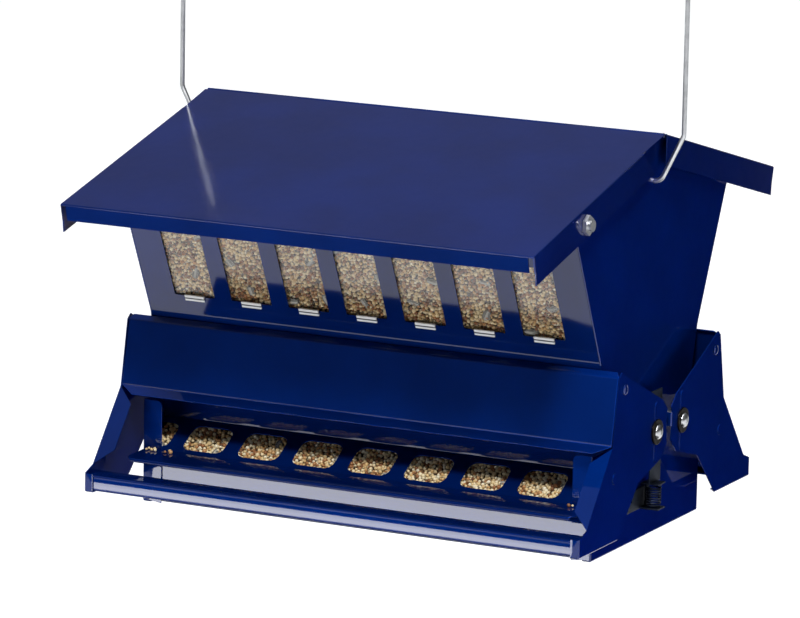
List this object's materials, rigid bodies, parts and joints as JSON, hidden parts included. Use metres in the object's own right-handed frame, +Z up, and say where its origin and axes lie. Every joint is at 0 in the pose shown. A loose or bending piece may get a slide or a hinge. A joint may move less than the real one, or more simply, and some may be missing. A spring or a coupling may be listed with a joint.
{
  "type": "squirrel proof bird feeder",
  "caption": "Two-sided steel bird feeder with a hinged roof, windowed seed hopper, and sprung perches that swing shields down over the feeding ports.",
  "frame": {"origin": "on the surface the feeder stands on, under the middle of its bounding box", "axes": "+X along the ridge to the right end, +Z up, -Y toward the front with the opening lid"},
  "size_m": [0.4904, 0.4993, 0.5872],
  "materials": {
    "blue_enamel": "gloss",
    "zinc_steel": "satin",
    "dark_bronze": "satin",
    "clear_plastic": "clear"
  },
  "bodies": {
    "hopper": {"end_plate_left": "blue_enamel", "end_plate_right": "blue_enamel", "front_hopper_wall": "blue_enamel", "rear_hopper_wall": "blue_enamel", "front_window_pane": "clear_plastic", "rear_window_pane": "clear_plastic", "front_tray": "blue_enamel", "rear_tray": "blue_enamel", "base_pan": "blue_enamel", "seed_divider": "blue_enamel", "rear_roof": "blue_enamel", "ridge_hinge_rod": "zinc_steel", "spring_anchor_left": "zinc_steel", "spring_anchor_right": "zinc_steel", "spring_left": "zinc_steel", "spring_right": "zinc_steel", "pivot_stud_front_left": "zinc_steel", "pivot_stud_front_right": "zinc_steel", "pivot_stud_rear_left": "zinc_steel", "pivot_stud_rear_right": "zinc_steel", "pivot_spacer_front_left": "zinc_steel", "pivot_spacer_front_right": "zinc_steel", "pivot_spacer_rear_left": "zinc_steel", "pivot_spacer_rear_right": "zinc_steel", "pivot_washer_front_left": "dark_bronze", "pivot_washer_front_right": "dark_bronze", "pivot_washer_rear_left": "dark_bronze", "pivot_washer_rear_right": "dark_bronze"},
    "lid": {"roof_lid": "blue_enamel", "lid_catch_left": "zinc_steel", "lid_catch_right": "zinc_steel"},
    "front_perch": {"front_shield": "blue_enamel", "front_perch_bar": "blue_enamel", "arm_front_left": "blue_enamel", "arm_rivet_front_left": "zinc_steel", "arm_front_right": "blue_enamel", "arm_rivet_front_right": "zinc_steel"},
    "rear_perch": {"rear_shield": "blue_enamel", "rear_perch_bar": "blue_enamel", "arm_rear_left": "blue_enamel", "arm_rivet_rear_left": "zinc_steel", "arm_rear_right": "blue_enamel", "arm_rivet_rear_right": "zinc_steel"},
    "bail": {"hanger_bail": "zinc_steel"},
    "strap_right": {"lift_strap_right": "zinc_steel"},
    "strap_left": {"lift_strap_left": "zinc_steel"}
  },
  "joints": [
    {"name": "lid", "type": "hinge", "parent": "hopper", "child": "lid", "pos_m": [0, 0.008, 0.3488], "axis": [-1, 0, 0], "range_deg": [0, 97]},
    {"name": "front_perch", "type": "hinge", "parent": "hopper", "child": "front_perch", "pos_m": [0, -0.027, 0.0995], "axis": [1, 0, 0], "range_deg": [0, 19], "stiffness_Nm_per_rad": 0.9, "springref_deg": -57.3},
    {"name": "rear_perch", "type": "hinge", "parent": "hopper", "child": "rear_perch", "pos_m": [0, 0.027, 0.0995], "axis": [-1, 0, 0], "range_deg": [0, 19], "stiffness_Nm_per_rad": 0.9, "springref_deg": -57.3},
    {"name": "bail", "type": "hinge", "parent": "hopper", "child": "bail", "pos_m": [0, 0, 0.311], "axis": [1, 0, 0], "range_deg": [-85, 85]},
    {"name": "lift_strap_right", "type": "slide", "parent": "hopper", "child": "strap_right", "axis": [0, 0, 1], "range_m": [0, 0.0075], "deforming": ["spring_right"]},
    {"name": "lift_strap_left", "type": "slide", "parent": "hopper", "child": "strap_left", "axis": [0, 0, 1], "range_m": [0, 0.0075], "deforming": ["spring_left"]}
  ],
  "couplings": [
    {"joint": "lift_strap_right", "follows": "front_perch", "m_per_rad": 0.0218},
    {"joint": "lift_strap_left", "follows": "rear_perch", "m_per_rad": 0.0218}
  ]
}
